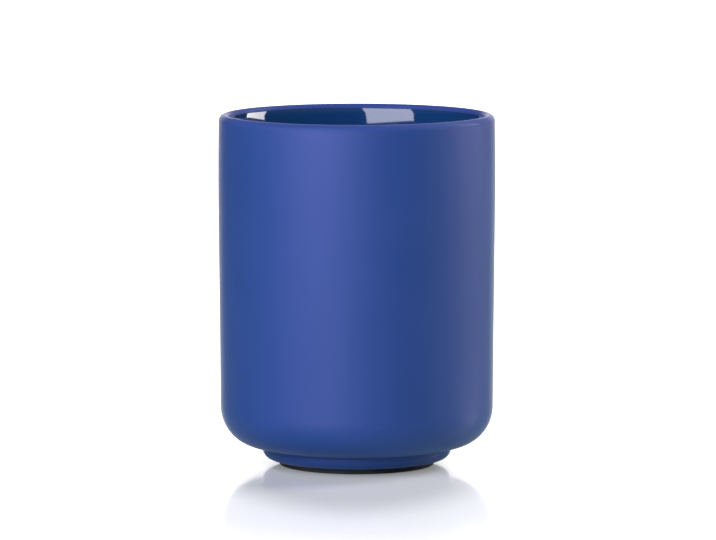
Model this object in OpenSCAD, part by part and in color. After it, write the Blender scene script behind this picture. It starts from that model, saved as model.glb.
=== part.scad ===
// Bathroom tumbler: a cast clay cup with a soft matte coat outside, a glossy glaze
// inside and a rubber non-slip ring glued into a groove under its turned foot.
// Z points up, the table is at Z = 0 and the cup's axis is the Z axis. Lengths are in mm.
// Each piece is one outline, drawn as radius and height, spun about the axis.

/* [Cup] */
// Height from the table to the top of the rim
cup_h = 103; // [90:0.5:120]
// Diameter of the outside at its widest
widest_d = 81.1; // [74:0.1:90]
// Height of the widest place above the table
widest_z = 83.5; // [65:0.5:92]
// Radius of the long curve that draws the wall in towards the rim
draw_in_r = 930; // [400:10:1600]
// Lean of the straight wall below that curve, in degrees
wall_lean = 0.56; // [0.2:0.02:1.6]

/* [Wall and floor] */
// Thickness of the wall, with its coat and glaze
wall_t = 4.1; // [3.4:0.1:5.5]
// Thickness of the floor over the recess, with its glaze
floor_t = 5.5; // [4:0.1:8]
// Radius between the wall and the floor inside the cup
floor_round = 8; // [4:0.5:14]

/* [Rim] */
// How far the inside opens out at the rim
rim_flare = 0.65; // [0.3:0.05:1.2]
// Depth below the rim at which the inside starts to open out
rim_flare_h = 9; // [6:0.5:16]

/* [Heel] */
// Height of the round heel, from the underside up to the straight wall
heel_rise = 11.5; // [8:0.5:18]
// Width of the flat underside between the heel and the cove
under_w = 0.2; // [0.1:0.05:1.5]

/* [Foot] */
// Diameter of the foot, measured to its full round
foot_d = 55.4; // [52.6:0.2:60]
// Radius of the foot's round lower edge
foot_round = 3; // [2.4:0.1:4]
// Height of the cup's underside above the foot's face
foot_h = 4.15; // [4:0.05:6]
// Radius of the cove between the foot and the underside
cove_r = 1.4; // [1:0.1:2.8]
// Width of the foot's flat face outside the ring's groove
face_out_w = 1.85; // [1:0.05:3]
// Width of the foot's flat face inside the ring's groove
face_in_w = 1.2; // [0.5:0.05:3]
// Radius of the foot's edge at the mouth of the recess
mouth_round = 0.8; // [0.3:0.1:1]
// Depth of the recess, from the foot's face to its ceiling
recess_h = 3; // [2:0.1:4]
// Lean of the recess's wall, in degrees, so that the foot comes out of its mould
recess_lean = 8; // [2:1:15]
// Radius between the recess's wall and its ceiling
recess_round = 1.5; // [0.5:0.1:1.8]

/* [Coat and glaze] */
// Thickness of the soft matte coat on the outside
coat_t = 0.2; // [0.15:0.01:0.4]
// How far the coat runs down inside, past the rim's inner round
coat_lap = 0.35; // [0.1:0.05:2]
// Thickness of the glaze inside
glaze_t = 0.25; // [0.15:0.01:0.5]

/* [Non-slip ring] */
// Width of the rubber ring, from its bore to its outside
ring_w = 3; // [2:0.1:3.6]
// How far the ring stands below the foot's face
ring_stand = 1.75; // [1:0.05:2.2]
// Radius of the ring's two lower edges
ring_round = 0.4; // [0.1:0.05:0.7]
// Depth of the groove that holds the ring
groove_h = 1.2; // [0.6:0.05:1.6]
// Gap between the ring and each side of its groove
ring_gap = 0.15; // [0.05:0.01:0.3]
// Thickness of the glue between the ring and the groove
glue_t = 0.15; // [0.1:0.01:0.3]

/* [Hidden] */

// Share of the rim's thickness that its outer round takes; its inner round takes the rest
rim_out_share = 0.6;
// Largest turn between two points of a round stretch, in degrees, and fewest steps in one
turn_step = 7.5;
turn_steps_least = 6;
// Steps round the axis
spin_steps = 144;

// An outline is a list of [place, normal], where the normal points out of the clay.
function unit(angle) = [cos(angle), sin(angle)];
function turn_steps(from, to) = max(turn_steps_least, ceil(abs(to - from) / turn_step));
function turns(from, to) = let (n = turn_steps(from, to)) [for (i = [0:n]) from + (to - from) * i / n];

// Stretch that bulges out of the clay, and one that is scooped into it
function bulge(centre, r, from, to) = [for (a = turns(from, to)) [centre + r * unit(a), unit(a)]];
function scoop(centre, r, from, to) = [for (a = turns(from, to)) [centre + r * unit(a), -unit(a)]];

// Quarter of an ellipse that bulges out of the clay
function oval_bulge(centre, half_w, half_h, from, to) = [
    for (a = turns(from, to))
        let (slope = [cos(a) / half_w, sin(a) / half_h])
        [centre + [half_w * cos(a), half_h * sin(a)], slope / norm(slope)]
];

// Places of an outline, as they are or sunk into the clay by a depth
function places(outline) = [for (p = outline) p[0]];
function sunk(outline, depth) = [for (p = outline) p[0] - depth * p[1]];
function backwards(list) = [for (i = [len(list) - 1:-1:0]) list[i]];

// The straight wall: along_wall runs up it, off_wall points out of it
along_wall = [sin(wall_lean), cos(wall_lean)];
off_wall = unit(-wall_lean);
wall_slope = tan(wall_lean);
draw_in_c = [widest_d / 2 - draw_in_r, widest_z];
wall_top = draw_in_c + draw_in_r * off_wall;

// Radius of a line that lies the given depth inside the wall, at a height
function wall_radius(depth, z) =
    let (start = wall_top - depth * off_wall)
    start.x - (start.y - z) * wall_slope;

// The rim is fully round: two arcs that meet at its crest
rim_wall_r = draw_in_c.x + sqrt(pow(draw_in_r, 2) - pow(cup_h - widest_z, 2));
rim_t = rim_wall_r - wall_radius(wall_t, cup_h) - rim_flare;
rim_out_r = rim_t * rim_out_share;
rim_in_r = rim_t - rim_out_r;
rim_out_up = cup_h - rim_out_r - widest_z;
rim_x = draw_in_c.x + sqrt(pow(draw_in_r - rim_out_r, 2) - pow(rim_out_up, 2));
rim_out_c = [rim_x, cup_h - rim_out_r];
rim_in_c = [rim_x, cup_h - rim_in_r];
rim_out_turn = asin(rim_out_up / (draw_in_r - rim_out_r));

// The flare runs from the rim's inner round into the inner wall, tangent to both
flare_off = (rim_in_c - wall_top) * off_wall + wall_t;
flare_down = rim_flare_h - rim_in_r;
flare_r = (pow(flare_down, 2) / (flare_off - rim_in_r) + rim_in_r + flare_off) / 2;
flare_c = rim_in_c + (flare_r - flare_off) * off_wall - flare_down * along_wall;
rim_in_turn = atan2(rim_in_c.y - flare_c.y, rim_in_c.x - flare_c.x);
coat_end_up = flare_r * sin(rim_in_turn) - coat_lap;
coat_end_turn = 180 - asin(coat_end_up / flare_r);

// Levels of the base, from the table up
foot_z = ring_stand;
under_z = foot_z + foot_h;
recess_z = foot_z + recess_h;
floor_z = recess_z + floor_t;

// Centres of the base's round stretches
foot_c = [foot_d / 2 - foot_round, foot_z + foot_round];
cove_up = under_z - cove_r - foot_c.y;
cove_c = [foot_c.x + sqrt(pow(foot_round + cove_r, 2) - pow(cove_up, 2)), under_z - cove_r];
cove_turn = asin(cove_up / (foot_round + cove_r));
heel_c = [cove_c.x + under_w, under_z + heel_rise];
heel_reach = sqrt(pow(wall_radius(0, heel_c.y) - heel_c.x, 2) - pow(heel_rise * wall_slope, 2));
heel_turn = -atan(heel_rise / heel_reach * wall_slope);
floor_c = [wall_radius(wall_t + floor_round, floor_z + floor_round), floor_z + floor_round];

// Outside, from the coat's end inside the rim, over the crest and down to the foot's face
outside = concat(
    [[flare_c + flare_r * unit(coat_end_turn), unit(coat_end_turn)]],
    bulge(rim_in_c, rim_in_r, rim_in_turn, 90),
    bulge(rim_out_c, rim_out_r, 90, rim_out_turn),
    bulge(draw_in_c, draw_in_r, rim_out_turn, -wall_lean),
    oval_bulge(heel_c, heel_reach, heel_rise, heel_turn, -90),
    scoop(cove_c, cove_r, 90, 180 + cove_turn),
    bulge(foot_c, foot_round, cove_turn, -90)
);

// Inside, from the coat's end down the flare and the wall to the middle of the floor
inside = concat(
    bulge(flare_c, flare_r, coat_end_turn, 180 - wall_lean),
    scoop(floor_c, floor_round, -wall_lean, -90),
    [[[0, floor_z], [0, 1]]]
);

// The ring lies in a groove in the foot's face, glued to the groove's ceiling
ring_out_x = foot_c.x - face_out_w - ring_gap;
ring_in_x = ring_out_x - ring_w;
groove_z = foot_z + groove_h;
ring_top_z = groove_z - glue_t;
groove = [
    [ring_out_x + ring_gap, foot_z],
    [ring_out_x + ring_gap, groove_z],
    [ring_in_x - ring_gap, groove_z],
    [ring_in_x - ring_gap, foot_z]
];

// The recess inside the foot: its mouth, its leaning wall and the middle of its ceiling
mouth_c = [ring_in_x - ring_gap - face_in_w, foot_z + mouth_round];
recess_rounds = recess_round + mouth_round;
recess_wall_h = (recess_h - recess_rounds + recess_rounds * sin(recess_lean)) / cos(recess_lean);
recess_c = [
    mouth_c.x - recess_rounds * cos(recess_lean) - recess_wall_h * sin(recess_lean),
    recess_z - recess_round
];
recess = concat(
    places(bulge(mouth_c, mouth_round, -90, recess_lean - 180)),
    places(scoop(recess_c, recess_round, recess_lean, 90)),
    [[0, recess_z]]
);

module spin() {
    rotate_extrude($fn = spin_steps) children();
}

// The cast clay: the whole cup less the depth of its coat and glaze
module clay_body() {
    color([0.90, 0.87, 0.80])
        spin()
            polygon(concat(
                sunk(outside, coat_t),
                [foot_c - [0, foot_round]],
                groove,
                recess,
                backwards(sunk(inside, glaze_t))
            ));
}

// The glossy glaze: it lines the cup from the flare of the rim to the floor
module inner_glaze() {
    color([0.07, 0.18, 0.40])
        spin()
            polygon(concat(places(inside), backwards(sunk(inside, glaze_t))));
}

// The soft matte coat: it wraps over the rim and ends at the foot's face
module soft_touch_coat() {
    color([0.24, 0.33, 0.62])
        spin()
            polygon(concat(places(outside), backwards(sunk(outside, coat_t))));
}

// The rubber ring that the cup stands on, flat below with rounded edges
module non_slip_ring() {
    color([0.09, 0.08, 0.11])
        spin()
            polygon(concat(
                [[ring_out_x, ring_top_z]],
                places(bulge([ring_out_x - ring_round, ring_round], ring_round, 0, -90)),
                places(bulge([ring_in_x + ring_round, ring_round], ring_round, -90, -180)),
                [[ring_in_x, ring_top_z]]
            ));
}

// The film of glue that fills the groove's ceiling over the ring
module ring_adhesive() {
    color([0.80, 0.78, 0.70])
        spin()
            translate([ring_in_x, ring_top_z])
                square([ring_w, glue_t]);
}

clay_body();
inner_glaze();
soft_touch_coat();
non_slip_ring();
ring_adhesive();
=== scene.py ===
# %% [markdown]
# # A bathroom tumbler on a glossy white sheet
# The tumbler is a cast clay cup. Outside it has a soft matte blue coat, inside a glossy
# dark blue glaze, and under its turned foot a rubber ring lies in a groove. Nothing on
# it moves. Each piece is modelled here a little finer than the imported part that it
# stands for, with its softened edges, and gets the finish that the real piece has.

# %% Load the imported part
from math import asin, atan, atan2, ceil, cos, degrees, pi, radians, sin, sqrt, tan

import bpy
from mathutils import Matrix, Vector


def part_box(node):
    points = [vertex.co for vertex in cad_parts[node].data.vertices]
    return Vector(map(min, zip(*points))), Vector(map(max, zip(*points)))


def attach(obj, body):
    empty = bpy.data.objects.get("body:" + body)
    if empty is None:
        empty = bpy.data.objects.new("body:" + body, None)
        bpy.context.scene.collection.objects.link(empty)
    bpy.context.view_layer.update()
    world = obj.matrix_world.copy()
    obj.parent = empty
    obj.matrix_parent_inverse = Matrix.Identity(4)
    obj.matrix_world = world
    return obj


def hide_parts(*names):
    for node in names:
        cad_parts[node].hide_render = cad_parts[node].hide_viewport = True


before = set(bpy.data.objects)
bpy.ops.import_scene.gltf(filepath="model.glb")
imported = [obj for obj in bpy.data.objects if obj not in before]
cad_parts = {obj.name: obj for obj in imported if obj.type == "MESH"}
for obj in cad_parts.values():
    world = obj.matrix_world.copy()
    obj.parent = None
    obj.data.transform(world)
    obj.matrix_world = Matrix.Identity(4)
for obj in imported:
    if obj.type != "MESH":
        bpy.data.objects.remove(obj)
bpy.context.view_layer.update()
print("packed nodes:", ", ".join(sorted(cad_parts)))

# %% [markdown]
# ## The camera
# The photograph was taken from well back with a long lens, a little above the rim:
# the rim's ellipse is narrow, and the wall's two sides run almost parallel. The camera
# comes first, because everything that follows is judged through it.

# %% Place the camera
IMAGE_WIDTH = 716
FOCAL_PIXELS = 5495
CAMERA_PLACE = Vector((0.00035, -1.6, 0.2349))
CAMERA_AIM = Vector((0.00035, 0, 0.05716))

bpy.ops.object.camera_add(location=CAMERA_PLACE)
camera = bpy.context.object
camera.rotation_euler = (CAMERA_AIM - CAMERA_PLACE).to_track_quat("-Z", "Y").to_euler()
camera.data.lens = FOCAL_PIXELS * camera.data.sensor_width / IMAGE_WIDTH
bpy.context.scene.camera = camera
print(f"lens {camera.data.lens:.1f} mm, {(CAMERA_AIM - CAMERA_PLACE).length:.2f} m from the tumbler")

# %% [markdown]
# ## The cup's measures
# A turned or cast cup is fully described by half of its section. Most of that section
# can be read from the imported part: its height, its widest place, the foot's face, the
# ring's level. The rest are radii and thicknesses, named as a potter would name them.
# Lengths are in metres, as everywhere in Blender, and leans are in degrees.

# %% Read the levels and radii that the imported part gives
MM = 0.001
coat_low, coat_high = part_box("soft_touch_coat")
ring_low, ring_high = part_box("non_slip_ring")
glaze_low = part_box("inner_glaze")[0]

GLAZE_THICK = 0.25 * MM
COAT_THICK = 0.2 * MM

cup_height = coat_high.z
widest_radius = (coat_high.x - coat_low.x) / 2
foot_level = coat_low.z
ring_radius = (ring_high.x - ring_low.x) / 2
ring_top = ring_high.z
floor_level = glaze_low.z + GLAZE_THICK
print(f"height {cup_height / MM:.2f}, widest {2 * widest_radius / MM:.2f}, foot {foot_level / MM:.2f}, "
      f"ring {2 * ring_radius / MM:.2f}, floor inside {floor_level / MM:.2f} mm")

# %% Name the radii and thicknesses that shape the section
WIDEST_LEVEL = 83.5 * MM
DRAW_IN_RADIUS = 930 * MM
WALL_LEAN = 0.56
WALL_THICK = 4.1 * MM
FLOOR_ROUND = 8 * MM
RIM_FLARE = 0.65 * MM
RIM_FLARE_DEPTH = 9 * MM
RIM_OUT_SHARE = 0.6
HEEL_RISE = 11.5 * MM
UNDERSIDE_FLAT = 0.2 * MM
FOOT_RADIUS = 27.7 * MM
FOOT_ROUND = 3 * MM
FOOT_HEIGHT = 4.15 * MM
COVE_ROUND = 1.4 * MM
COAT_LAP = 0.35 * MM
RING_WIDTH = 3 * MM
RING_ROUND = 0.4 * MM
RING_GAP = 0.15 * MM
GROOVE_DEPTH = 1.2 * MM
FACE_INSIDE_GROOVE = 1.2 * MM
MOUTH_ROUND = 0.8 * MM
RECESS_DEPTH = 3 * MM
RECESS_LEAN = 8
RECESS_ROUND = 1.5 * MM

# %% [markdown]
# ## Drawing with tangent arcs
# A real rim or heel has no corner where one curve ends and the next begins. The section
# is therefore a chain of arcs that share their tangents. Each point of the chain carries
# its normal, the direction that points out of the clay, so that a coat or a glaze is the
# same chain sunk by its thickness, and every layer fits the next exactly.

# %% Helpers that draw the section, as points of radius and height
ARC_STEP = 5.0
LEAST_ARC_STEPS = 6


def unit(turn):
    """Direction of a turn in degrees, where 0 points away from the axis and 90 points up."""
    return Vector((cos(radians(turn)), sin(radians(turn))))


def turns(start, end):
    """Even turns from start to end, close enough together for a smooth arc."""
    count = max(LEAST_ARC_STEPS, ceil(abs(end - start) / ARC_STEP))
    return [start + (end - start) * i / count for i in range(count + 1)]


def bulge(centre, radius, start, end):
    """Arc that bulges out of the clay."""
    return [(centre + radius * unit(t), unit(t)) for t in turns(start, end)]


def scoop(centre, radius, start, end):
    """Arc that is scooped into the clay."""
    return [(centre + radius * unit(t), -unit(t)) for t in turns(start, end)]


def oval_bulge(centre, reach, rise, start, end):
    """Arc of an ellipse that bulges out of the clay."""
    points = []
    for t in turns(start, end):
        across, up = unit(t)
        normal = Vector((across / reach, up / rise)).normalized()
        points.append((centre + Vector((reach * across, rise * up)), normal))
    return points


def sunk(chain, depth):
    """Places of a chain, sunk into the clay by a depth."""
    return [place - depth * normal for place, normal in chain]


# %% Work out where the wall, the rim and the flare meet
off_wall = unit(-WALL_LEAN)
along_wall = Vector((sin(radians(WALL_LEAN)), cos(radians(WALL_LEAN))))
wall_slope = tan(radians(WALL_LEAN))
draw_in_centre = Vector((widest_radius - DRAW_IN_RADIUS, WIDEST_LEVEL))
wall_top = draw_in_centre + DRAW_IN_RADIUS * off_wall


def wall_radius(depth, height):
    """Radius of the line that lies a depth inside the straight wall, at a height."""
    start = wall_top - depth * off_wall
    return start.x - (start.y - height) * wall_slope


rim_wall_radius = draw_in_centre.x + sqrt(DRAW_IN_RADIUS ** 2 - (cup_height - WIDEST_LEVEL) ** 2)
rim_thick = rim_wall_radius - wall_radius(WALL_THICK, cup_height) - RIM_FLARE
rim_out_round = rim_thick * RIM_OUT_SHARE
rim_in_round = rim_thick - rim_out_round
rim_out_rise = cup_height - rim_out_round - WIDEST_LEVEL
crest_radius = draw_in_centre.x + sqrt((DRAW_IN_RADIUS - rim_out_round) ** 2 - rim_out_rise ** 2)
rim_out_centre = Vector((crest_radius, cup_height - rim_out_round))
rim_in_centre = Vector((crest_radius, cup_height - rim_in_round))
rim_out_turn = degrees(asin(rim_out_rise / (DRAW_IN_RADIUS - rim_out_round)))

flare_off = (rim_in_centre - wall_top).dot(off_wall) + WALL_THICK
flare_drop = RIM_FLARE_DEPTH - rim_in_round
flare_round = (flare_drop ** 2 / (flare_off - rim_in_round) + rim_in_round + flare_off) / 2
flare_centre = rim_in_centre + (flare_round - flare_off) * off_wall - flare_drop * along_wall
rim_in_turn = degrees(atan2(rim_in_centre.y - flare_centre.y, rim_in_centre.x - flare_centre.x))
coat_end_rise = flare_round * sin(radians(rim_in_turn)) - COAT_LAP
coat_end_turn = 180 - degrees(asin(coat_end_rise / flare_round))
print(f"rim {rim_thick / MM:.2f} mm thick, crest at {crest_radius / MM:.2f} mm, "
      f"flare round {flare_round / MM:.1f} mm")

# %% Work out where the heel, the cove and the foot meet
underside_level = foot_level + FOOT_HEIGHT
foot_centre = Vector((FOOT_RADIUS - FOOT_ROUND, foot_level + FOOT_ROUND))
cove_rise = underside_level - COVE_ROUND - foot_centre.y
cove_centre = Vector((
    foot_centre.x + sqrt((FOOT_ROUND + COVE_ROUND) ** 2 - cove_rise ** 2),
    underside_level - COVE_ROUND,
))
cove_turn = degrees(asin(cove_rise / (FOOT_ROUND + COVE_ROUND)))
heel_centre = Vector((cove_centre.x + UNDERSIDE_FLAT, underside_level + HEEL_RISE))
heel_reach = sqrt((wall_radius(0, heel_centre.y) - heel_centre.x) ** 2 - (HEEL_RISE * wall_slope) ** 2)
heel_turn = -degrees(atan(HEEL_RISE / heel_reach * wall_slope))
floor_round_level = floor_level + FLOOR_ROUND
floor_centre = Vector((wall_radius(WALL_THICK + FLOOR_ROUND, floor_round_level), floor_round_level))
print(f"heel reaches {heel_reach / MM:.2f} mm, cove meets the foot at {cove_turn:.1f} degrees")

# %% Chain the arcs into the outside and the inside
outside = (
    [(flare_centre + flare_round * unit(coat_end_turn), unit(coat_end_turn))]
    + bulge(rim_in_centre, rim_in_round, rim_in_turn, 90)
    + bulge(rim_out_centre, rim_out_round, 90, rim_out_turn)[1:]
    + bulge(draw_in_centre, DRAW_IN_RADIUS, rim_out_turn, -WALL_LEAN)[1:]
    + oval_bulge(heel_centre, heel_reach, HEEL_RISE, heel_turn, -90)
    + scoop(cove_centre, COVE_ROUND, 90, 180 + cove_turn)
    + bulge(foot_centre, FOOT_ROUND, cove_turn, -90)[1:]
)
inside = (
    bulge(flare_centre, flare_round, coat_end_turn, 180 - WALL_LEAN)
    + scoop(floor_centre, FLOOR_ROUND, -WALL_LEAN, -90)
    + [(Vector((0, floor_level)), Vector((0, 1)))]
)
print(f"{len(outside)} points outside, {len(inside)} inside")

# %% [markdown]
# ## A potter's wheel in Blender
# A cup is round because it was turned, and Blender's Spin is the same idea: one section,
# swept once round the axis. The section is drawn as by hand, with a single vertex that
# is extruded from point to point, then spun. A cylinder with its loops scaled would also
# give a round wall, but its section would have corners instead of tangent arcs.

# %% Helpers that select by place and spin a section
SPIN_STEPS = 192
NEAR = 0.001 * MM
SMOOTH_BELOW = 40


def start_fresh():
    """Leave edit mode and deselect all, because operators act on what is selected."""
    if bpy.context.object and bpy.context.object.mode == "EDIT":
        bpy.ops.object.mode_set(mode="OBJECT")
    bpy.ops.object.select_all(action="DESELECT")


def select_verts(obj, wanted):
    """Select the vertices whose radius and height the test accepts, in vertex mode."""
    bpy.ops.object.mode_set(mode="EDIT")
    bpy.ops.mesh.select_mode(type="VERT")
    bpy.ops.mesh.select_all(action="DESELECT")
    bpy.ops.object.mode_set(mode="OBJECT")
    for vert in obj.data.vertices:
        vert.select = wanted(Vector(vert.co.xy).length, vert.co.z)
    bpy.ops.object.mode_set(mode="EDIT")


def at(*places):
    """A test that accepts the vertices at these places of the section."""
    return lambda radius, height: any((Vector((radius, height)) - p).length < NEAR for p in places)


def turn_on_wheel(name, section, joined):
    """Draw a section from a single vertex and spin it. A joined section closes on itself."""
    start_fresh()
    first = section[0]
    bpy.ops.mesh.primitive_plane_add(size=MM, location=(first.x, 0, first.y))
    obj = bpy.context.object
    obj.name = obj.data.name = name
    bpy.ops.object.transform_apply(location=True, rotation=True, scale=True)
    bpy.ops.object.mode_set(mode="EDIT")
    bpy.ops.mesh.merge(type="CENTER")
    for here, there in zip(section, section[1:]):
        step = there - here
        bpy.ops.mesh.extrude_region_move(TRANSFORM_OT_translate={"value": (step.x, 0, step.y)})
    if joined:
        select_verts(obj, at(first, section[-1]))
        bpy.ops.mesh.edge_face_add()
    bpy.ops.mesh.select_all(action="SELECT")
    bpy.ops.mesh.spin(steps=SPIN_STEPS, angle=2 * pi, center=(0, 0, 0), axis=(0, 0, 1))
    bpy.ops.mesh.select_all(action="SELECT")
    bpy.ops.mesh.remove_doubles(threshold=NEAR)
    bpy.ops.mesh.normals_make_consistent(inside=False)
    bpy.ops.object.mode_set(mode="OBJECT")
    return obj


def finish_piece(obj, node):
    """Smooth the piece, let it stand for its node and ride on the cup's one body."""
    start_fresh()
    obj.select_set(True)
    bpy.context.view_layer.objects.active = obj
    bpy.ops.object.shade_smooth_by_angle(angle=radians(SMOOTH_BELOW))
    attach(obj, "root")
    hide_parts(node)
    low, high = (Vector(f(v.co[i] for v in obj.data.vertices) for i in range(3)) for f in (min, max))
    print(f"{obj.name}: {len(obj.data.polygons)} faces, {2 * high.x / MM:.2f} mm wide, "
          f"{low.z / MM:.2f} to {high.z / MM:.2f} mm high")


# %% [markdown]
# ## The fired clay
# The clay is the cup itself, less the depth of its coat and its glaze. Only its base is
# ever seen: the foot's flat face with the groove for the ring, and the shallow recess
# inside it. A potter breaks the groove's edges with a sponge, so they get a small bevel.
# One section from axis to axis makes the whole body.

# %% Turn the clay body
GROOVE_EDGE_ROUND = 0.12 * MM

groove_level = foot_level + GROOVE_DEPTH
groove_out = ring_radius + RING_GAP
groove_in = ring_radius - RING_WIDTH - RING_GAP
mouth_centre = Vector((groove_in - FACE_INSIDE_GROOVE, foot_level + MOUTH_ROUND))
recess_level = foot_level + RECESS_DEPTH
both_rounds = RECESS_ROUND + MOUTH_ROUND
lean_sin, lean_cos = sin(radians(RECESS_LEAN)), cos(radians(RECESS_LEAN))
recess_wall = (RECESS_DEPTH - both_rounds + both_rounds * lean_sin) / lean_cos
recess_centre = Vector((
    mouth_centre.x - both_rounds * lean_cos - recess_wall * lean_sin,
    recess_level - RECESS_ROUND,
))
groove = [
    Vector((groove_out, foot_level)),
    Vector((groove_out, groove_level)),
    Vector((groove_in, groove_level)),
    Vector((groove_in, foot_level)),
]
recess = [place for place, normal in
          bulge(mouth_centre, MOUTH_ROUND, -90, RECESS_LEAN - 180)
          + scoop(recess_centre, RECESS_ROUND, RECESS_LEAN, 90)]

under_glaze = [Vector((0, floor_level - GLAZE_THICK))] + sunk(inside, GLAZE_THICK)[-2::-1]
clay_section = (
    under_glaze
    + sunk(outside, COAT_THICK)
    + [Vector((foot_centre.x, foot_level))]
    + groove
    + recess
    + [Vector((0, recess_level))]
)
clay = turn_on_wheel("fired_clay_cup", clay_section, joined=False)

# %% Break the groove's two sharp edges and finish the clay
select_verts(clay, at(groove[0], groove[-1]))
bpy.ops.mesh.bevel(offset=GROOVE_EDGE_ROUND, segments=2, affect="EDGES")
finish_piece(clay, "clay_body")

# %% [markdown]
# ## The glaze inside
# Glaze melts in the kiln and levels itself, so it has no edge of its own but a soft
# meniscus: it thins out over the last millimetre and a half below the coat. The window
# reflections bend there, which is what rounds off their upper corners in the photograph.
# The section is the inside chain, dipped at its end, with the clay's face behind it.

# %% Turn the glaze, with its thin upper edge
MENISCUS_REACH = 1.5 * MM
MENISCUS_DIP = 0.12 * MM
MENISCUS_STEPS = 12


def with_meniscus(chain):
    """Thin the end of the glaze in a soft curve, with extra points where it bends."""
    edge = chain[0][0].y
    first_turn = degrees(chain[1][1].angle(chain[0][1]))
    closer = [coat_end_turn + first_turn * i / MENISCUS_STEPS for i in range(1, MENISCUS_STEPS)]
    extra = [(flare_centre + flare_round * unit(t), unit(t)) for t in closer]
    places = []
    for place, normal in chain[:1] + extra + chain[1:]:
        share = max(0.0, 1 - (edge - place.y) / MENISCUS_REACH)
        places.append(place - MENISCUS_DIP * share ** 2 * normal)
    return places


glaze = turn_on_wheel("glaze_lining", under_glaze + with_meniscus(inside), joined=False)
finish_piece(glaze, "inner_glaze")

# %% [markdown]
# ## The soft-touch coat
# The coat is sprayed on after firing. It covers the outside, wraps over the rim and ends
# in an even masked line just inside it, where it stands a hair proud of the glaze. Its
# two ends are rounded, because paint draws back from an edge as it dries.

# %% Turn the coat, a thin shell with rounded ends
COAT_EDGE_ROUND = 0.07 * MM

coat_face = [place for place, normal in outside]
coat_back = sunk(outside, COAT_THICK)[::-1]
coat = turn_on_wheel("soft_touch_skin", coat_face + coat_back, joined=True)
select_verts(coat, at(coat_face[0], coat_face[-1]))
bpy.ops.mesh.bevel(offset=COAT_EDGE_ROUND, segments=3, affect="EDGES")
finish_piece(coat, "soft_touch_coat")

# %% [markdown]
# ## The non-slip ring
# The ring is moulded rubber, flat above and below. It starts as a short cylinder: both
# caps are inset by the ring's width, and the two inner caps are bridged, which opens the
# bore. The two lower edges are rounded, as the mould leaves them.

# %% Model the ring from a cylinder
LEAST_CAP_RISE = 0.9


def select_faces(obj, wanted):
    """Select the faces that the test accepts, in face mode."""
    bpy.ops.object.mode_set(mode="EDIT")
    bpy.ops.mesh.select_mode(type="FACE")
    bpy.ops.mesh.select_all(action="DESELECT")
    bpy.ops.object.mode_set(mode="OBJECT")
    for face in obj.data.polygons:
        face.select = wanted(face)
    bpy.ops.object.mode_set(mode="EDIT")


def model_washer(name, outer, width, bottom, top):
    """A flat ring: a cylinder, both caps inset, and a bore bridged between them."""
    start_fresh()
    bpy.ops.mesh.primitive_cylinder_add(
        vertices=SPIN_STEPS, radius=outer, depth=top - bottom, location=(0, 0, (top + bottom) / 2))
    obj = bpy.context.object
    obj.name = obj.data.name = name
    bpy.ops.object.transform_apply(location=True, rotation=True, scale=True)
    select_faces(obj, lambda face: abs(face.normal.z) > LEAST_CAP_RISE)
    bpy.ops.mesh.inset(thickness=width, use_even_offset=True)
    bpy.ops.mesh.bridge_edge_loops()
    bpy.ops.object.mode_set(mode="OBJECT")
    return obj


ring = model_washer("rubber_ring", ring_radius, RING_WIDTH, ring_low.z, ring_top)
select_verts(ring, lambda radius, height: height < ring_low.z + NEAR)
bpy.ops.mesh.bevel(offset=RING_ROUND, segments=6, affect="EDGES")
finish_piece(ring, "non_slip_ring")

# %% [markdown]
# ## The glue
# A film of silicone glue holds the ring in its groove. Pressed between two flat faces, it
# is as wide as the ring, with softly rounded edges. Almost nothing of it is seen, but the
# ring would fall out without it, so it has its place.

# %% Model the film of glue
GLUE_EDGE_ROUND = 0.04 * MM

glue = model_washer("glue_film", ring_radius, RING_WIDTH, ring_top, groove_level)
select_verts(glue, lambda radius, height: True)
bpy.ops.mesh.bevel(offset=GLUE_EDGE_ROUND, segments=2, affect="EDGES")
finish_piece(glue, "ring_adhesive")

# %% [markdown]
# ## Nodes by name
# A material is easier to read as a sum than as a list of wires. Each helper below adds
# one node, feeds its inputs with plain values or with other nodes' outputs, and returns
# the output that the next one needs.

# %% Helpers that add nodes and join them


def feed(tree, node, entry, given):
    """Give a node's input a plain value, or link it where an output is given."""
    if isinstance(given, bpy.types.NodeSocket):
        tree.links.new(given, node.inputs[entry])
    else:
        node.inputs[entry].default_value = given


def add_node(tree, kind, entries=None, **settings):
    """Add a node with its settings, and feed its inputs by name or number."""
    node = tree.nodes.new(kind)
    for name, value in settings.items():
        setattr(node, name, value)
    for entry, given in (entries or {}).items():
        feed(tree, node, entry, given)
    return node


def maths(tree, operation, *given, clamp=False):
    """Number that an operation makes of the numbers given."""
    node = add_node(tree, "ShaderNodeMath", dict(enumerate(given)), operation=operation, use_clamp=clamp)
    return node.outputs[0]


def vector_maths(tree, operation, *given):
    """Vector that an operation makes of the vectors given."""
    node = add_node(tree, "ShaderNodeVectorMath", dict(enumerate(given)), operation=operation)
    return node.outputs["Vector"]


def length(tree, vector):
    """Length of a vector."""
    return add_node(tree, "ShaderNodeVectorMath", {0: vector}, operation="LENGTH").outputs["Value"]


def parts_of(tree, vector):
    """The X, Y and Z of a vector, as outputs with those names."""
    return add_node(tree, "ShaderNodeSeparateXYZ", {0: vector}).outputs


def mix_numbers(tree, share, plain, other):
    """Number between two others, by a share from 0 to 1."""
    return add_node(tree, "ShaderNodeMix", {0: share, 2: plain, 3: other}, data_type="FLOAT").outputs[0]


def mix_colours(tree, share, plain, other):
    """Colour between two others, by a share from 0 to 1."""
    return add_node(tree, "ShaderNodeMix", {0: share, 6: plain, 7: other}, data_type="RGBA").outputs[2]


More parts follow.
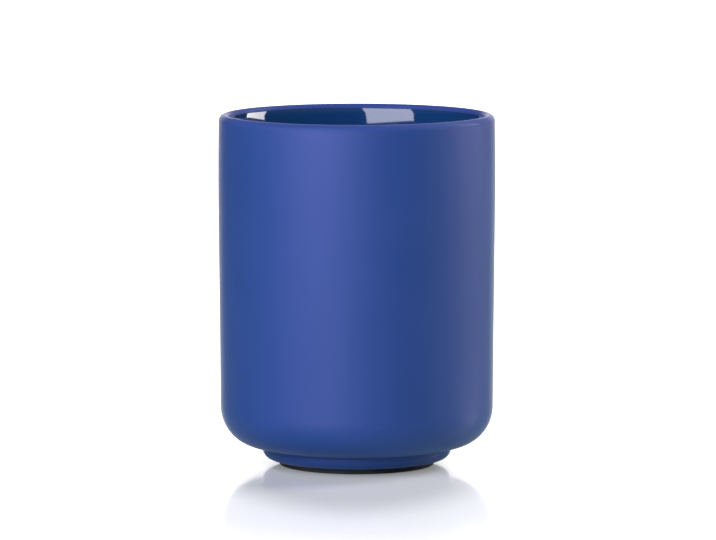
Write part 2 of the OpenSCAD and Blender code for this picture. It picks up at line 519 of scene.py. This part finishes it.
def between(tree, value, start, end, low=0.0, high=1.0, curve="SMOOTHSTEP"):
    """Number that goes from low to high while a value goes from start to end."""
    entries = {"Value": value, "From Min": start, "From Max": end, "To Min": low, "To Max": high}
    return add_node(tree, "ShaderNodeMapRange", entries, interpolation_type=curve).outputs["Result"]


def vary(tree, share, low, high):
    """Number that goes evenly from low to high with a share from 0 to 1."""
    return between(tree, share, 0.0, 1.0, low, high, curve="LINEAR")


def bumped(tree, height, depth, over=None):
    """Normal of a surface raised by up to depth metres, over an earlier one where it is given."""
    entries = {"Height": height, "Strength": 1.0, "Distance": depth}
    if over is not None:
        entries["Normal"] = over
    return add_node(tree, "ShaderNodeBump", entries).outputs["Normal"]


# %% [markdown]
# ## Two effects that several finishes share
# Sprayed coat, bare clay and moulded rubber all have a fine grain and slightly uneven
# patches, only at other sizes. Cast and turned faces carry faint rings. Both effects are
# node groups: built once, and given their own values in each material.

# %% Build the grain group and the turning-marks group


def new_group(name, inputs, outputs):
    """A group that reads a place and named numbers, with what it is given and its result node."""
    group = bpy.data.node_groups.new(name, "ShaderNodeTree")
    group.interface.new_socket("Place", in_out="INPUT", socket_type="NodeSocketVector")
    for label, value in inputs.items():
        entry = group.interface.new_socket(label, in_out="INPUT", socket_type="NodeSocketFloat")
        entry.default_value = value
    for label in outputs:
        group.interface.new_socket(label, in_out="OUTPUT", socket_type="NodeSocketFloat")
    return group, group.nodes.new("NodeGroupInput").outputs, group.nodes.new("NodeGroupOutput")


def build_grain():
    """Fine grain as a height, and broad patches as a number from 0 to 1."""
    group, given, result = new_group(
        "Fine grain", {"Grain size": 0.0003, "Patch size": 0.02, "Contrast": 2.0}, ["Height", "Patches"])
    fine = add_node(group, "ShaderNodeTexNoise", {
        "Vector": given["Place"], "Scale": maths(group, "DIVIDE", 1.0, given["Grain size"]),
        "Detail": 2.0, "Roughness": 0.55})
    broad = add_node(group, "ShaderNodeTexNoise", {
        "Vector": given["Place"], "Scale": maths(group, "DIVIDE", 1.0, given["Patch size"]),
        "Detail": 3.0, "Roughness": 0.5})
    centred = maths(group, "SUBTRACT", broad.outputs["Fac"], 0.5)
    spread = maths(group, "MULTIPLY", centred, given["Contrast"])
    feed(group, result, "Height", fine.outputs["Fac"])
    feed(group, result, "Patches", maths(group, "ADD", spread, 0.5, clamp=True))
    return group


def build_marks():
    """The height of faint, slightly wobbling rings about the axis."""
    group, given, result = new_group("Turning marks", {"Spacing": 0.0008, "Wobble": 0.0002}, ["Height"])
    parts = parts_of(group, given["Place"])
    level_place = add_node(group, "ShaderNodeCombineXYZ", {"X": parts["X"], "Y": parts["Y"]}).outputs[0]
    sway = add_node(group, "ShaderNodeTexNoise", {"Vector": given["Place"], "Scale": 90.0, "Detail": 1.0})
    swaying = maths(group, "MULTIPLY", sway.outputs["Fac"], given["Wobble"])
    swayed = maths(group, "ADD", length(group, level_place), swaying)
    rings = add_node(group, "ShaderNodeTexNoise", {
        "W": maths(group, "DIVIDE", swayed, given["Spacing"]), "Scale": 1.0, "Detail": 2.0},
        noise_dimensions="1D")
    feed(group, result, "Height", rings.outputs["Fac"])
    return group


grain = build_grain()
marks = build_marks()
print("groups:", ", ".join(group.name for group in bpy.data.node_groups))

# %% Helpers that start a material, place a group in it and join its shader


def srgb(*levels):
    """A colour as a painter reads it, 0 to 255, turned into the linear values that light uses."""
    shares = [level / 255 for level in levels]
    return (*(s / 12.92 if s <= 0.04045 else ((s + 0.055) / 1.055) ** 2.4 for s in shares), 1.0)


def new_material(name, piece, **sockets):
    """A material on a piece: its tree, its Principled shader and the piece's own coordinates."""
    material = bpy.data.materials.new(name)
    material.use_nodes = True
    tree = material.node_tree
    shader = tree.nodes["Principled BSDF"]
    for key, value in sockets.items():
        shader.inputs[key.replace("_", " ")].default_value = value
    piece.data.materials.clear()
    piece.data.materials.append(material)
    print(f"material {name} on {piece.name}")
    return tree, shader, add_node(tree, "ShaderNodeTexCoord").outputs["Object"]


def add_group(tree, group, place, **values):
    """Place a shared group in a material with its own numbers, and return its outputs."""
    entries = {key.replace("_", " "): value for key, value in values.items()}
    return add_node(tree, "ShaderNodeGroup", {"Place": place, **entries}, node_tree=group).outputs


def dress(tree, shader, colour, roughness, normal):
    """Give a shader its colour, its roughness and its fine relief."""
    feed(tree, shader, "Base Color", colour)
    feed(tree, shader, "Roughness", roughness)
    feed(tree, shader, "Normal", normal)


# %% [markdown]
# ## The coat's finish
# Soft-touch paint scatters light in its whole depth, so its highlights are wide and it
# takes on a pale, velvety sheen where the eye grazes it, as along the tumbler's right
# side. The spray leaves a grain far finer than a millimetre, and its density drifts a
# little from patch to patch, which shows in the gloss more than in the colour. On the
# rim's round the spray arrives at a slant and half dry, so it is duller there.

# %% Make the soft-touch coat
DRY_SPRAY_FROM = rim_out_centre.y - 0.5 * MM
DRY_SPRAY_TO = rim_out_centre.y + 0.8 * MM
DRY_SPRAY_ROUGHNESS = 0.8

tree, shader, place = new_material(
    "soft_touch_blue", coat, IOR=1.5, Specular_IOR_Level=0.68, Specular_Tint=(0.94, 0.75, 1.57, 1.0),
    Coat_Weight=1.0, Coat_Roughness=0.14, Coat_IOR=1.08,
    Sheen_Weight=0.175, Sheen_Roughness=0.35, Sheen_Tint=(0.78, 0.48, 1.0, 1.0))
spray = add_group(tree, grain, place, Grain_size=0.00035, Patch_size=0.018, Contrast=2.2)
blue = mix_colours(tree, spray["Patches"], srgb(36, 73, 141), srgb(38, 75, 144))
even_roughness = vary(tree, spray["Patches"], 0.49, 0.55)
over_rim = between(tree, parts_of(tree, place)["Z"], DRY_SPRAY_FROM, DRY_SPRAY_TO)
roughness = mix_numbers(tree, over_rim, even_roughness, DRY_SPRAY_ROUGHNESS)
dress(tree, shader, blue, roughness, bumped(tree, spray["Height"], depth=0.012 * MM))

# %% [markdown]
# ## The glaze's finish
# A fired glaze is glass. It is smooth and mirrors the studio sharply, with the very
# slight waviness of a surface that set while it flowed. Where it ran together at the
# floor's edge it is thicker and darker.

# %% Make the glossy glaze
POOL_RISE = 2 * FLOOR_ROUND

tree, shader, place = new_material("deep_blue_glaze", glaze, IOR=1.63)
flow = add_group(tree, grain, place, Grain_size=0.016, Patch_size=0.03, Contrast=2.0)
on_wall = mix_colours(tree, flow["Patches"], srgb(17, 60, 108), srgb(19, 64, 114))
pooled = between(tree, parts_of(tree, place)["Z"], floor_level + POOL_RISE, floor_level)
deep_blue = mix_colours(tree, pooled, on_wall, srgb(12, 43, 84))
roughness = vary(tree, flow["Patches"], 0.04, 0.07)
dress(tree, shader, deep_blue, roughness, bumped(tree, flow["Height"], depth=0.04 * MM))

# %% [markdown]
# ## The bare clay's finish
# Unglazed ware is dry and chalky. Its body has tiny darker specks, the foot was turned,
# so its face carries faint rings, and the grain is coarser than the paint's.

# %% Make the bare clay
SPECK_SCALE = 1100.0
SPECKS_FROM = 0.70
SPECKS_TO = 0.76

tree, shader, place = new_material("bisque_clay", clay, IOR=1.45)
body = add_group(tree, grain, place, Grain_size=0.00045, Patch_size=0.009, Contrast=2.6)
turned = add_group(tree, marks, place, Spacing=0.0007, Wobble=0.0003)
speck = add_node(tree, "ShaderNodeTexNoise", {"Vector": place, "Scale": SPECK_SCALE, "Detail": 0.0})
specks = between(tree, speck.outputs["Fac"], SPECKS_FROM, SPECKS_TO, curve="LINEAR")
plain_clay = mix_colours(tree, body["Patches"], srgb(226, 219, 205), srgb(234, 228, 215))
speckled = mix_colours(tree, specks, plain_clay, srgb(150, 128, 104))
roughness = vary(tree, body["Patches"], 0.78, 0.9)
ringed = bumped(tree, turned["Height"], depth=0.06 * MM)
dress(tree, shader, speckled, roughness, bumped(tree, body["Height"], depth=0.03 * MM, over=ringed))

# %% [markdown]
# ## The rubber's and the glue's finishes
# Moulded rubber is black with a dull, faintly textured skin that picks up a little dust.
# Its underside shows the mould's own turned face. Cured silicone is milky and waxy.

# %% Make the rubber and the glue
tree, shader, place = new_material("black_rubber", ring, IOR=1.45)
skin = add_group(tree, grain, place, Grain_size=0.0004, Patch_size=0.006, Contrast=3.0)
mould = add_group(tree, marks, place, Spacing=0.0005, Wobble=0.0001)
dusty = mix_colours(tree, skin["Patches"], srgb(44, 42, 48), srgb(58, 54, 58))
roughness = vary(tree, skin["Patches"], 0.62, 0.78)
ringed = bumped(tree, mould["Height"], depth=0.02 * MM)
dress(tree, shader, dusty, roughness, bumped(tree, skin["Height"], depth=0.02 * MM, over=ringed))

tree, shader, place = new_material("cured_glue", glue, IOR=1.41)
cure = add_group(tree, grain, place, Grain_size=0.0008, Patch_size=0.004, Contrast=2.0)
milky = mix_colours(tree, cure["Patches"], srgb(208, 204, 190), srgb(222, 219, 208))
roughness = vary(tree, cure["Patches"], 0.35, 0.5)
dress(tree, shader, milky, roughness, bumped(tree, cure["Height"], depth=0.03 * MM))

# %% [markdown]
# ## The sheet it stands on
# The tumbler stands on glossy white acrylic. Seen this flat, the sheet mirrors the foot
# and the heel softly, and the mirror image fades out in the studio's brightness a hand's
# breadth in front. A glowing fill that only the camera sees paints that fade onto the sheet,
# so that the light on the tumbler stays as it is. The fill rises with the distance from a
# point behind the foot, faster to the sides than to the front. It is held back right round
# the ring, which paints a contact shadow where the sheet is darkest, and a little is added
# beside the foot, a painted light where light gets in under the heel. The sheet is white
# to the camera, and duller in the light that it throws back at the tumbler.

# %% Lay the sheet
SHEET_SIZE = 14.0
SHEET_SEEN = (0.9, 0.9, 0.88, 1.0)
SHEET_BOUNCE = (0.38, 0.65, 0.55, 1.0)

# The fill's painted fade, an oval. Each rise is where it starts, where it ends and by how much
FADE_CENTRE = (-0.001, 0.058, 0)
FADE_STRETCH = (3.16, 1, 1)
FADE_LEAST = 0.19
FADE_RISES = ((0.126, 0.175, 0.26), (0.154, 0.364, 0.55))
FADE_COLOUR = (1.0, 1.0, 0.97, 1.0)

# The painted contact shadow: the share of the fill that is left at the ring, and how far from the axis it
# grows
CONTACT_FROM = 0.0215
CONTACT_TO = 0.031
CONTACT_SHARE = 0.68

# The painted light beside the foot: how far to the side it starts, leaning outwards with the
# distance behind the axis, and where it ends in front
BESIDE_LEAN = 0.25
BESIDE_FROM = 0.0215
BESIDE_TO = 0.0265
BESIDE_FILL = 0.25
IN_FRONT_FROM = -0.055
IN_FRONT_TO = -0.035


def fill_level(tree, place):
    """How bright the painted fill is at a place on the sheet: its fade, its contact shadow and its light
    beside the foot.
    """
    shifted = vector_maths(tree, "SUBTRACT", place, FADE_CENTRE)
    away = length(tree, vector_maths(tree, "MULTIPLY", shifted, FADE_STRETCH))
    fade = FADE_LEAST
    for start, end, rise in FADE_RISES:
        fade = maths(tree, "ADD", fade, between(tree, away, start, end, high=rise))
    # Painted contact shadow: the fill is held back right round the ring
    painted_contact_shadow = between(tree, length(tree, place), CONTACT_FROM, CONTACT_TO, low=CONTACT_SHARE)
    parts = parts_of(tree, place)
    # Painted light beside the foot, where light gets in under the heel, but not in front of it
    aside = maths(tree, "MULTIPLY_ADD", parts["Y"], BESIDE_LEAN, maths(tree, "ABSOLUTE", parts["X"]))
    painted_light_beside = between(tree, aside, BESIDE_FROM, BESIDE_TO, high=BESIDE_FILL)
    behind_front = between(tree, parts["Y"], IN_FRONT_FROM, IN_FRONT_TO)
    return maths(tree, "MULTIPLY_ADD", fade, painted_contact_shadow, maths(tree, "MULTIPLY", painted_light_beside, behind_front))


start_fresh()
bpy.ops.mesh.primitive_grid_add(x_subdivisions=4, y_subdivisions=4, size=SHEET_SIZE, location=(0, 0, 0))
sheet = bpy.context.object
sheet.name = sheet.data.name = "acrylic_sheet"
tree, shader, place = new_material("glossy_white_sheet", sheet, IOR=1.5, Roughness=0.07)
to_camera = add_node(tree, "ShaderNodeLightPath").outputs["Is Camera Ray"]
feed(tree, shader, "Base Color", mix_colours(tree, to_camera, SHEET_BOUNCE, SHEET_SEEN))
# The glow paints light and shade onto the sheet, for the camera only
strength = maths(tree, "MULTIPLY", fill_level(tree, place), to_camera)
glow = add_node(tree, "ShaderNodeEmission", {"Color": FADE_COLOUR, "Strength": strength})
both = add_node(tree, "ShaderNodeAddShader", {0: shader.outputs[0], 1: glow.outputs[0]})
feed(tree, tree.nodes["Material Output"], "Surface", both.outputs[0])

# %% [markdown]
# ## The studio
# The large softbox stands in front on the left: it lights the left half of the wall and
# shows as the right-hand window in the glaze. The narrow one stands on the right, slightly
# behind: it draws the pale edge and shows as the left-hand window. A third lamp hangs
# behind and above. It is there for its even light on the rim and the sheet, and nothing
# mirrors it. The world is white to the camera. In mirrors it is a low white sweep behind
# the tumbler, dim ahead and a little brighter overhead, so that the glaze stays deep.

# %% Set up the world

# Where each part of the mirrored world begins and where it is full: the sweep by how
# squarely behind a direction points, the sweep and the overhead light by its rise
SWEEP_EDGE = (0.80, 0.96)
SWEEP_TOP = (0.35, 0.18)
OVERHEAD = (0.15, 0.7)


def world_light(camera_level, mirror_behind, mirror_ahead, mirror_above, ambient):
    """A world of one level to the camera, one as light, and a white sweep behind in mirrors."""
    world = bpy.data.worlds.new("studio")
    bpy.context.scene.world = world
    world.use_nodes = True
    tree = world.node_tree
    rays = add_node(tree, "ShaderNodeLightPath").outputs
    parts = parts_of(tree, add_node(tree, "ShaderNodeTexCoord").outputs["Generated"])
    level_part = add_node(tree, "ShaderNodeCombineXYZ", {"X": parts["X"], "Y": parts["Y"]}).outputs[0]
    heading = vector_maths(tree, "NORMALIZE", level_part)
    behind = between(tree, parts_of(tree, heading)["Y"], *SWEEP_EDGE)
    low = between(tree, parts["Z"], *SWEEP_TOP)
    ahead = between(tree, parts["Z"], *OVERHEAD, low=mirror_ahead, high=mirror_above)
    mirrored = mix_numbers(tree, maths(tree, "MULTIPLY", behind, low), ahead, mirror_behind)
    unseen = mix_numbers(tree, rays["Is Glossy Ray"], ambient, mirrored)
    background = tree.nodes["Background"]
    background.inputs["Color"].default_value = (1, 1, 1, 1)
    feed(tree, background, "Strength", mix_numbers(tree, rays["Is Camera Ray"], unseen, camera_level))
    print(f"world: {camera_level} to the camera, {mirror_behind} mirrored behind, {ambient} as light")


world_light(camera_level=1.0, mirror_behind=1.0, mirror_ahead=0.03, mirror_above=0.3, ambient=0.015)

# %% Hang the softboxes


def softbox(name, one_edge, other_edge, low, high, level, colour, tilt=0):
    """A rectangular lamp between two upright edges, from a low to a high level above the sheet.
    An edge is its turn to the left of the camera, in degrees, and its distance from the tumbler.
    A tilt in degrees makes it face down."""
    ends = []
    for turn, away in (one_edge, other_edge):
        ends.append(Vector((-sin(radians(turn)) * away, -cos(radians(turn)) * away, 0)))
    across = ends[1] - ends[0]
    facing = Vector((-across.y, across.x, 0)).normalized()
    middle = (ends[0] + ends[1]) / 2 + Vector((0, 0, (low + high) / 2))
    if facing.dot(middle) > 0:
        facing = -facing
    facing = facing * cos(radians(tilt)) - Vector((0, 0, sin(radians(tilt))))
    start_fresh()
    bpy.ops.object.light_add(type="AREA", location=middle)
    lamp = bpy.context.object
    lamp.name = name
    lamp.rotation_euler = facing.to_track_quat("-Z", "Y").to_euler()
    lamp.data.shape = "RECTANGLE"
    lamp.data.size, lamp.data.size_y = across.length, high - low
    lamp.data.energy = pi * lamp.data.size * lamp.data.size_y * level
    lamp.data.color = colour
    print(f"{name}: {across.length:.2f} by {high - low:.2f} m, {lamp.data.energy:.1f} W")
    return lamp


softbox("softbox_left", (55, 1.20), (7.5, 1.80), low=0.226, high=1.285,
        level=5.8, colour=(0.97, 0.98, 1.15), tilt=10)
softbox("softbox_right", (-96, 1.45), (-122.5, 1.45), low=0.235, high=1.5,
        level=8.4, colour=(1.0, 0.98, 0.98))
back_light = softbox("softbox_behind", (155, 1.4), (205, 1.4), low=0.9, high=1.7,
                     level=4.0, colour=(1.0, 1.0, 1.0))
back_light.visible_glossy = False

# %% Show colours as they are
bpy.context.scene.view_settings.view_transform = "Standard"
